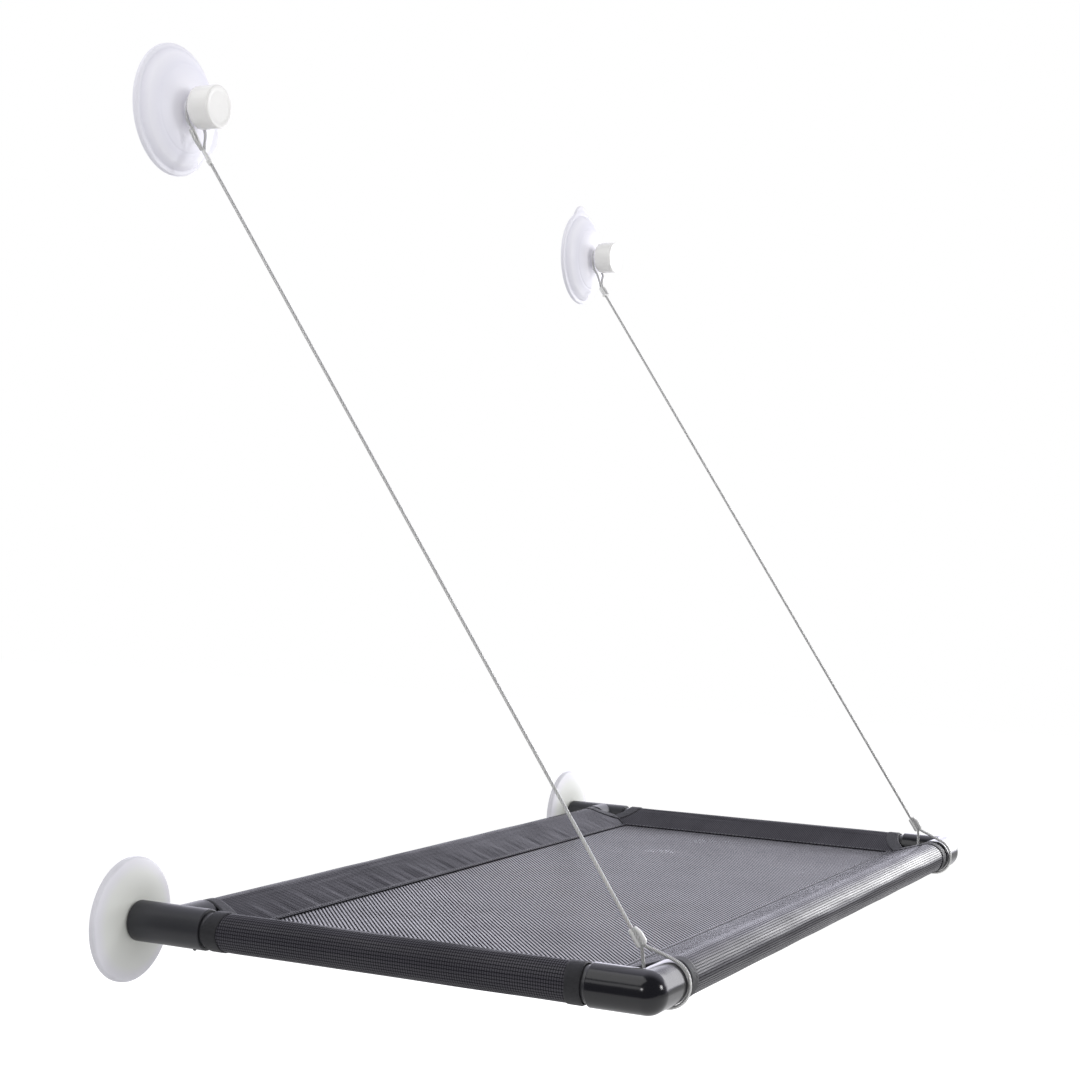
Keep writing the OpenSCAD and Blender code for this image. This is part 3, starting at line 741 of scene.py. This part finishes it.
def bed_height(x, y):
    """Sag as a product of two arches, plus a few long, low ridges across the bed, in mm."""
    a = np.cos(np.pi * x / (2 * BED_HALF_X))
    b = np.cos(np.pi * (y - sum(BED_Y) / 2) / (BED_Y[1] - BED_Y[0]))
    hold = smoothstep(a, 0, 0.25) * smoothstep(b, 0, 0.35)
    creases = 0.16 * np.sin(x / 31 + y / 57) + 0.12 * np.sin(x / 47 - y / 23 + 1.0)
    return -SAG * a * b + hold * (creases + 0.06 * np.sin(x / 11 + y / 14))


x, y = np.meshgrid(np.linspace(-BED_HALF_X, BED_HALF_X, BED_COLUMNS), np.linspace(*BED_Y, BED_ROWS))
bed_points = np.stack([x, y, bed_height(x, y)], axis=-1)
bed = piece_from(
    "bed_cloth", bed_points * MM, grid_faces(BED_ROWS, BED_COLUMNS),
    grid_corners(bed_points[..., :2]) * MM, finish=bed_mesh,
)
solid_sheet(bed, CLOTH * MM)
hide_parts("sling_bed")
print("bed's lowest point in mm:", round(float(bed_points[..., 2].min()), 2))

# %% [markdown]
# ## Tape round the corner cut-outs
# Each cut-out's raw edge is bound with a narrow tape, folded over the edge and
# sewn down. The tape follows the sleeve: it is the same surface, 0.72 mm
# further out, between the cut-out's edge and a circle 10 mm wider.

# %% Corner tapes
TAPE_WIDE, TAPE_THICK, TAPE_OFFSET = 10.0, 0.6, 0.72
TAPE_ROWS = 90
TAPE_SHARES = np.array([0, 0.02, 0.06, 0.12, 0.25, 0.4, 0.55, 0.7, 0.85, 0.93, 0.98, 1.0])[None, :]


def tape_part(which, end, at_last):
    """The tape on one sleeve: it starts a little before the cloth's edge, rolled down over it, and ends on
    the wider circle."""
    length = SLEEVES[which][0]
    section, around = sleeve_section(TAPE_OFFSET, 0.0, TAPE_ROWS)
    start = end_of(section, end)
    outer = np.maximum(np.sqrt((end["cut"] + TAPE_WIDE) ** 2 - section[:, 0] ** 2), start + 0.05)
    share = TAPE_SHARES
    s = start[:, None] * (1 - share) + outer[:, None] * share - 0.25 * (1 - share)
    roll = -0.75 * (1 - smoothstep(share, 0, 0.1)) - 0.25 * smoothstep(share, 0.9, 1.0)
    near = section / np.maximum(np.linalg.norm(section, axis=1), 1e-6)[:, None]
    away = np.where(np.abs(section[:, :1]) > 4.6, [0, 1] * np.sign(section), near)
    shifted = section[:, None, :] + away[:, None, :] * roll[..., None]
    if at_last:
        s = length - s
    points = lie_along(which, shifted[..., 0], s, shifted[..., 1])
    return points, np.stack(np.broadcast_arrays(around[:, None], share * TAPE_WIDE), axis=-1)


def corner_tape(node, *parts):
    """Both sleeves' parts of one corner's tape, joined in one piece."""
    points, faces, uvs, first = [], [], [], 0
    for which, end, at_last in parts:
        p, uv = tape_part(which, end, at_last)
        rows, cols = p.shape[:2]
        f, c = grid_faces(rows, cols, first=first), grid_corners(uv)
        if (which in ("left", "rear")) != at_last:
            f, c = f[:, ::-1], c[:, ::-1]
        points.append(p.reshape(-1, 3) * MM)
        faces += f.tolist()
        uvs.append(c * MM)
        first += rows * cols
    made = piece_from(f"{node}_cloth", np.concatenate(points), faces, np.concatenate(uvs), finish=tape_cloth)
    solid_sheet(made, TAPE_THICK * MM)
    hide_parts(node)


for at, side_end, end in (("front", FRONT_END, FRONT_END), ("rear", REAR_END_ALONG, REAR_END_ACROSS)):
    for side_name, side in SIDES:
        corner_tape(f"{at}_{side_name}_tape", (side_name, side_end, at == "rear"), (at, end, side > 0))
print("tape's width and thickness in mm:", TAPE_WIDE, TAPE_THICK)

# %% [markdown]
# ## Stitches
# A seam shows as a row of short threads, each of which rises out of the cloth
# and dives back in. One small arched thread is worked out once, and all its
# copies are made at the same time: their places, directions and the way that
# is up are arrays, and adding them gives every point of every stitch.

# %% Stitches
STITCH, STITCH_GAP, THREAD = 2.6, 3.4, 0.26
THREAD_SIDES, THREAD_RINGS = 6, 7
ARCH, SUNK = 0.32, 0.12
ROW_INSET = SEAM + 2.0


def stitch_shape():
    """One stitch along x: a tube whose middle rises as half a sine and whose ends close to a point."""
    t = np.linspace(0, 1, THREAD_RINGS)
    middle = np.stack([(t - 0.5) * STITCH, 0 * t, ARCH * np.sin(np.pi * t) - SUNK], axis=1)
    reach = THREAD * np.sqrt(np.maximum(1 - (2 * t - 1) ** 4, 0.04))
    turn = np.linspace(0, 2 * np.pi, THREAD_SIDES + 1)[:-1]
    ring = np.stack([0 * turn, np.cos(turn), np.sin(turn)], axis=1)
    points = middle[:, None] + reach[:, None, None] * ring[None]
    faces = grid_faces(THREAD_RINGS, THREAD_SIDES, wrap_cols=True).tolist()
    return points.reshape(-1, 3), faces + end_faces(THREAD_RINGS, THREAD_SIDES)


def stitches(name, places, headings, ups):
    """Copies of the stitch at places, each turned so that x lies along its heading and z along its up."""
    shape, faces = stitch_shape()
    x = unit(headings)
    side = unit(np.cross(ups, x))
    turned_by = np.stack([x, side, np.cross(x, side)], axis=1)
    points = places[:, None] + np.einsum("kc,ncd->nkd", shape, turned_by)
    size, flat = [len(f) for f in faces], np.concatenate([np.array(f) for f in faces])
    many = (flat[None, :] + np.arange(len(places))[:, None] * len(shape)).ravel()
    splits = np.cumsum(np.tile(size, len(places)))[:-1]
    made = piece_from(name, points * MM, np.split(many, splits), finish=thread)


def row_on(which, inward, up, start, stop):
    """Places and headings of a row of stitches on a sleeve at one distance inwards."""
    count = int((stop - start) / STITCH_GAP)
    s = start + (np.arange(count) + 0.5) * (stop - start) / count
    places = lie_along(which, inward, s, up)
    heading = lie_along(which, inward, s + 1.0, up) - places
    return places, heading, np.tile([0.0, 0.0, math.copysign(1.0, up)], (count, 1))


stitch_rows = [
    row_on(which, ROW_INSET, up, ROW_INSET, SLEEVES[which][0] - ROW_INSET)
    for which in SLEEVES
    for up in (CLOTH * 1.5, -CLOTH * 1.5)
]
places, headings, ups = (np.concatenate(part) for part in zip(*stitch_rows))
stitches("seam_stitches", places, headings, ups)
print("stitches on the seams:", len(places))

# %% [markdown]
# ## Turned shapes
# The cups and knobs are bodies of revolution. Each is drawn as half of its
# outline, with a rounding at every corner, and swept round its axis. The
# axis runs from the window into the room, so the outline is a list of radius
# and distance from the window.

# %% Turning helpers
ROOMWARD = -1.0


def rounded(outline, rounding, steps=5):
    """Replaces each inner corner of the outline by a quadratic curve, which starts before it, bends towards
    it and ends after it. A rounding is at most 0.49 of either side."""
    p = np.asarray(outline, float)
    a, corner, b = p[:-2], p[1:-1], p[2:]
    reach = np.broadcast_to(np.asarray(rounding, float), (len(p),))[1:-1]
    before, after = np.linalg.norm(a - corner, axis=1), np.linalg.norm(b - corner, axis=1)
    cut = np.minimum(reach, 0.49 * np.minimum(before, after))[:, None]
    start, stop = corner + cut * (a - corner) / before[:, None], corner + cut * (b - corner) / after[:, None]
    t = np.linspace(0, 1, steps)[None, :, None]
    curve = (1 - t) ** 2 * start[:, None] + 2 * t * (1 - t) * corner[:, None] + t**2 * stop[:, None]
    return np.concatenate([p[:1], curve.reshape(-1, 2), p[-1:]])


def turned(name, outline, place, body, finish, around=128, reach_out=None):
    """Sweeps an outline of (radius, distance from the window) in mm round an axis through place. Points at
    radius 0 become single poles. reach_out(radius, depth, turn) may push points outwards."""
    outline = np.asarray(outline, float)
    inner = outline[outline[:, 0] > 1e-6]
    turn = np.linspace(0, 2 * np.pi, around + 1)[:-1]
    radius, depth = (inner[:, k : k + 1] + 0 * turn[None, :] for k in range(2))
    if reach_out is not None:
        radius, depth = reach_out(radius, depth, turn)
    points = np.stack([radius * np.cos(turn), ROOMWARD * depth, radius * np.sin(turn)], axis=-1)
    poles = np.array([[0, ROOMWARD * end[1], 0] for end in (outline[0], outline[-1])])
    rows, k = len(inner), np.arange(around)
    beside, last_row, pole = (k + 1) % around, (rows - 1) * around, np.full(around, rows * around)
    faces = grid_faces(rows, around, wrap_cols=True).tolist()
    faces += np.stack([beside, k, pole], axis=1).tolist()
    faces += np.stack([last_row + k, last_row + beside, pole + 1], axis=1).tolist()
    points = np.concatenate([points.reshape(-1, 3), poles]) + place
    return piece_from(name, points * MM, faces, body=body, finish=finish)


def shares(pairs, radius, depth):
    """Pairs of shares as (radius, depth) in mm."""
    return [[a * radius, b * depth] for a, b in pairs]


# %% [markdown]
# ## The lower suction cups
# A plain cup: a shallow bowl against the window, a thin lip, a rounded back,
# and a plug that stands in the tee. It turns on its own axis before it is
# pressed on, so it rides on its own body.

# %% Lower cups
LOWER_R, LOWER_H = 40.0, 7.5
LOWER_HOLLOW = [
    (0, 0.49), (0.12, 0.489), (0.25, 0.485), (0.36, 0.478), (0.45, 0.465), (0.56, 0.43), (0.65, 0.385),
    (0.72, 0.32), (0.775, 0.25), (0.81, 0.18), (0.83, 0.12), (0.85, 0),
]
LOWER_BACK = [
    (0.99, 0), (1, 0.06), (1, 0.4), (0.985, 0.52), (0.95, 0.6), (0.85, 0.72), (0.75, 0.82), (0.625, 0.91),
    (0.5, 0.97), (0.4, 0.995),
]
LOWER_PLUG = [(13.5, 7.5), (8.9, 7.5), (8.9, 21.5), (6.9, 23.5), (0, 23.5)]
lower_outline = rounded(
    shares(LOWER_HOLLOW + LOWER_BACK, LOWER_R, LOWER_H) + LOWER_PLUG,
    [3.0] * len(LOWER_HOLLOW) + [0.5, 0.5, 1.0, 1.5] + [4.0] * (len(LOWER_BACK) - 4)
    + [0.4] * len(LOWER_PLUG),
)

for side_name, side in SIDES:
    node = f"lower_{side_name}_cup"
    cup = turned(f"{node}_vinyl", lower_outline, (side * SIDE_X, 0.0, 0.0), node, lower_vinyl)
    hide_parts(node)
print("lower cups, across, in mm:", 2 * LOWER_R, "rings:", len(lower_outline))

# %% [markdown]
# ## The upper suction cups
# These are larger and stiffer. From the rim inwards come a flat side band, a
# groove, two steps, a dome and a neck. The cable's loop lies round the neck,
# behind a collar. A pull tab stands out from the rim, so that the cup can be
# lifted off.
#
# The tab isn't a separate piece. The outline is swept round as before, and
# where it passes the tab, its rim is pushed outwards as far as the tab's own
# round end.

# %% Upper cups
UPPER_R, UPPER_H = 42.5, 14.3
TAB_CENTRE, TAB_R, TAB_LIFT, TAB_THINNER, TAB_BLEND = 34.4, 14.6, 0.4, 0.75, 1.2
UPPER_HOLLOW = [
    (0, 0.76), (0.14, 0.759), (0.28, 0.755), (0.38, 0.74), (0.47, 0.715), (0.53, 0.69), (0.59, 0.655),
    (0.64, 0.61), (0.68, 0.56), (0.72, 0.5), (0.75, 0.435), (0.78, 0.365), (0.8, 0.29), (0.82, 0.215),
    (0.835, 0.14), (0.86, 0),
]
UPPER_BACK = [
    (0.985, 0), (1, 0.04), (1, 0.18), (0.986, 0.23), (0.925, 0.25), (0.91, 0.31), (0.88, 0.43), (0.85, 0.54),
    (0.8, 0.64), (0.75, 0.72), (0.706, 0.785), (0.67, 0.815), (0.65, 0.85), (0.565, 0.92), (0.47, 0.97),
    (0.35, 0.995),
]
UPPER_NECK = [
    (7.0, 14.3), (7.0, 19.1), (11.0, 19.1), (11.0, 20.7), (4.05, 20.7), (4.05, 14.25), (5.55, 14.25),
    (5.55, 11.95), (0, 11.95),
]
TAB_ANGLES = {"left": math.radians(-13), "right": math.radians(97)}
upper_outline = rounded(
    shares(UPPER_HOLLOW + UPPER_BACK, UPPER_R, UPPER_H) + UPPER_NECK,
    [3.0] * len(UPPER_HOLLOW) + [0.4, 0.4, 0.5, 0.4, 0.6, 1.2] + [2.0] * 4
    + [1.0, 0.8, 0.8, 3.0, 3.0, 1.5, 1.2, 0.5, 0.4, 0.5] + [0.1] * 5,
)


def tab_reach(tab_angle):
    """Pushes the rim out to the tab's circle. In a direction at an angle to the tab, that circle is at: its
    centre times the cosine, plus the root of its radius squared less the centre times the sine, squared. A
    small root in the push rounds the corner where the tab leaves the rim."""

    def reach_out(radius, depth, turn):
        off = (turn - tab_angle + np.pi) % (2 * np.pi) - np.pi
        inside = np.maximum(TAB_R**2 - (TAB_CENTRE * np.sin(off)) ** 2, 0)
        past = np.where(np.abs(off) < 1.0, TAB_CENTRE * np.cos(off) + np.sqrt(inside), 0) - UPPER_R
        proud = ((past + np.sqrt(past**2 + TAB_BLEND**2)) / 2)[None, :]
        band = smoothstep(radius, 0.95 * UPPER_R, 0.985 * UPPER_R) * (depth < 0.24 * UPPER_H)
        lifted = depth + band * TAB_LIFT * np.minimum(proud / 3, 1) * (1 - smoothstep(depth, 1.0, 2.6))
        thinned = lifted - band * TAB_THINNER * smoothstep(depth, 1.6, 2.6) * np.minimum(proud / 3, 1)
        return radius + band * proud, thinned

    return reach_out


for side_name, side in SIDES:
    node, reach_out = f"upper_{side_name}_cup", tab_reach(TAB_ANGLES[side_name])
    place = (side * UPPER_X, 0.0, UPPER_Z)
    cup = turned(f"{node}_vinyl", upper_outline, place, node, upper_vinyl, around=192, reach_out=reach_out)
    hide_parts(node)
print("upper cups, across, in mm:", 2 * UPPER_R, "rings:", len(upper_outline))

# %% [markdown]
# ## The screw knobs
# Each knob is a smooth cylinder of ivory plastic with a well rounded front
# edge, a hardly dished front face, and a fine step at its base. It is hollow
# behind, for the bush. It turns on its stud, so it rides on the knob's body.

# %% Knobs
KNOB_BASE = 21.0
KNOB_OUTLINE = [
    (0, 13.3), (5.0, 13.3), (5.0, 11.55), (7.55, 11.55), (7.55, 0.0), (13.2, 0.0), (13.75, 0.7), (13.75, 2.0),
    (14.0, 2.25), (14.0, 15.8), (11.6, 15.8), (10.2, 15.62), (0, 15.5),
]
knob_outline = rounded(
    [[r, KNOB_BASE + h] for r, h in KNOB_OUTLINE],
    [0.1, 0.1, 0.1, 0.1, 0.2, 0.3, 0.4, 0.15, 0.15, 2.4, 0.8, 1.2, 0.1], steps=8,
)

for side_name, side in SIDES:
    node, place = f"{side_name}_knob", (side * UPPER_X, 0.0, UPPER_Z)
    knob = turned(f"{node}_ivory", knob_outline, place, node, knob_ivory)
    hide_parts(node)
print("rings in a knob:", len(knob_outline))

# %% [markdown]
# ## The ferrules
# A ferrule is a short piece of soft metal that holds both strands of the loop.
# Its section is a flat oval with a shallow valley between the strands. The
# upper ones are crimped evenly and end in a flared lip. On the lower ones the
# barrel round the cable's end is pressed into a leaf: narrow where the end is,
# and widest two thirds of the way down.

# %% Ferrules
FERRULE_WIDE, BARREL = 7.4, 1.6
FERRULE_RINGS, FERRULE_SIDES = 81, 64
UPPER_FERRULE, LOWER_FERRULE = 9.5, 11.5


def ferrule(name, top, run, length, barrels_along, lip, mirrored):
    """Rows along the ferrule and columns round it. Across: the barrels' distance times a steep S-curve of
    the cosine, plus their radius times the cosine. Through: the radius times the sine, less a valley in the
    middle."""
    down = unit(run)
    wide = unit(barrels_along - (barrels_along @ down) * down)
    thin = np.cross(down, wide)
    t = np.linspace(0, 1, FERRULE_RINGS)[:, None]
    turn = np.linspace(0, 2 * np.pi, FERRULE_SIDES + 1)[None, :-1]
    out = FERRULE_WIDE / 2 - BARREL
    ends = 1 - 0.2 * (np.exp(-t * length / 0.3) + np.exp(-(1 - t) * length / 0.3))
    flare = 0.3 * smoothstep(t, 0.85, 0.88) if lip else 0 * t
    leaf = 0 * t if lip else 0.5 * (1 - smoothstep(t, -0.1, 0.5)) + 0.25 * smoothstep(t, 0.82, 1.05)
    valley = 1 - 0.72 * np.exp(-((np.cos(turn) / 0.22) ** 2)) * (1 - flare * 3)
    across = (out * np.tanh(3 * np.cos(turn)) / math.tanh(3) + BARREL * np.cos(turn)) * (1 + flare * 0.6)
    across = across * (1 - leaf * (np.cos(turn) > 0))
    through = BARREL * np.sin(turn) * valley * (1 + flare)
    across, through = (across * ends)[..., None], (through * ends)[..., None]
    points = top + t[..., None] * length * down + across * wide + through * thin
    if mirrored:
        points = points[:, ::-1] * [-1, 1, 1]
    rows, cols = FERRULE_RINGS, FERRULE_SIDES
    faces = grid_faces(rows, cols, wrap_cols=True).tolist() + end_faces(rows, cols)
    made = piece_from(f"{name}_crimped", points * MM, faces, finish=aluminium, sharp=50)
    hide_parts(name)


LOOPS = {
    "upper": (UPPER_LOOP[1], UPPER_LOOP[-2], UPPER_LOOP[-1] - UPPER_LOOP[-2], UPPER_FERRULE),
    "lower": (LOWER_LOOP[0], LOWER_LOOP[-1], LOWER_LOOP[1] - LOWER_LOOP[0], LOWER_FERRULE),
}
for side_name, side in SIDES:
    for which, (one, other, run, length) in LOOPS.items():
        ferrule(
            f"{which}_{side_name}_ferrule", (one + other) / 2, run, length, other - one,
            lip=which == "upper", mirrored=side > 0,
        )
print("ferrules, long, in mm:", UPPER_FERRULE, LOWER_FERRULE)

# %% [markdown]
# ## Studio
# The object hangs over a plain floor in a white studio. A camera ray that
# misses it sees white. Shiny surfaces see the white backdrop behind the object,
# and the dimmer half of the room behind the camera, which is what gives black
# plastic its depth. Matt surfaces get an even, softer light.
#
# Each lamp is placed by the highlight that it makes: the camera's ray is
# reflected towards it. A large panel behind the object lights the tops of the
# yarns, another stands to the right, a soft box on the left and a large one
# overhead. A small panel close to the right end puts a bright streak on the
# front sleeve, and two round lamps put round highlights on the elbow.

# %% Surround
LOOK = -axes[2]
MATT_LIGHT = 0.75
BACKDROP_RANGE, BACKDROP_LIGHT = (-0.1, 0.55), (0.10, 1.0)
WHITE, REFLECTED_TINT = (1.0, 1.0, 1.0), (0.94, 0.93, 1.07)


def surround():
    """White for camera rays, from white to dim for reflections, and an even grey for the rest."""
    world = bpy.data.worlds.new("white_studio")
    bpy.context.scene.world = world
    g = Graph(world)
    seen = g.seen_ray()
    mirrored = Socket(g, g.node("ShaderNodeLightPath").output.node.outputs["Is Glossy Ray"])
    direction = g.node("ShaderNodeTexCoord", {}, out=0)
    towards = g.node("ShaderNodeVectorMath", {"operation": "DOT_PRODUCT"}, direction, tuple(LOOK), out=1)
    smooth = {"interpolation_type": "SMOOTHSTEP"}
    backdrop = g.node("ShaderNodeMapRange", smooth, towards, *BACKDROP_RANGE, *BACKDROP_LIGHT)
    unseen = mirrored * backdrop + (1 - mirrored) * MATT_LIGHT
    shade = g.tree.nodes["Background"]
    g.feed(shade.inputs["Color"], g.mix(mirrored, WHITE, REFLECTED_TINT))
    g.feed(shade.inputs["Strength"], seen + (1 - seen) * unseen)


surround()
print("light on matt surfaces:", MATT_LIGHT)

# %% Floor
FLOOR_Z, FLOOR_GLOW = -0.6, 0.45
FLOOR_CORNERS = [(-2, -9), (9, -9), (9, 9), (-2, 9)]


def floor():
    """A wide plain sheet, lifted to white for camera rays, so that it still takes a soft shadow."""
    f = Finish("pale_floor", Base_Color=(0.75, 0.75, 0.75), Roughness=0.95, Specular_IOR_Level=0.0)
    f.set(Emission_Color=WHITE, Emission_Strength=f.seen_ray() * FLOOR_GLOW)
    mesh = bpy.data.meshes.new("floor")
    mesh.from_pydata([(*corner, FLOOR_Z) for corner in FLOOR_CORNERS], [], [(0, 1, 2, 3)])
    mesh.materials.append(f.material)
    add_object("floor", mesh)


floor()
print("floor below the tubes, in mm:", -FLOOR_Z / MM)

# %% Lamps
ELBOW = CORNER_PLACE * MM
FAR_END = np.array([0.25, -0.361, 0.0])
COOL = (0.95, 0.94, 1.06)


def lamp(name, shape, towards, direction, distance, size, radiance, tint=WHITE):
    """An area lamp that faces a place. Its power is its radiance times pi times its area."""
    away = unit(np.array(direction))
    data = bpy.data.lights.new(name, "AREA")
    data.shape, data.color = shape, tint
    data.size, data.size_y = size
    area = size[0] * size[1] * (math.pi / 4 if shape == "ELLIPSE" else 1.0)
    data.energy = radiance * math.pi * area
    side = unit(np.cross([0, 0, 1], away))
    up = np.cross(away, side)
    add_object(name, data).matrix_world = pose_matrix(side, up, away, towards + distance * away)


lamp("back_panel", "RECTANGLE", ELBOW, (0.90, 0.38, 0.17), 3.0, (3.0, 1.4), 1.45, COOL)
lamp("overhead_box", "RECTANGLE", ELBOW, (-0.37, 0.39, 0.84), 2.2, (1.5, 1.5), 1.2)
lamp("left_box", "ELLIPSE", ELBOW, (-0.80, 0.43, 0.43), 2.2, (0.9, 0.5), 1.0)
lamp("right_panel", "RECTANGLE", ELBOW, (0.90, -0.31, 0.20), 2.6, (2.2, 1.2), 2.4)
lamp("streak_lamp", "RECTANGLE", FAR_END, (0.52, -0.15, 0.12), 0.56, (0.22, 0.20), 6)
lamp("left_lamp", "ELLIPSE", ELBOW, (-0.88, 0.16, 0.38), 2.0, (0.36, 0.36), 9)
lamp("room_lamp", "ELLIPSE", ELBOW, (0.24, -0.88, 0.41), 2.0, (0.48, 0.48), 13)

# %% [markdown]
# ## Finish
# The view transform is left plain, so that a colour renders as it is written.

# %% Finish
bpy.context.scene.view_settings.view_transform = "Standard"
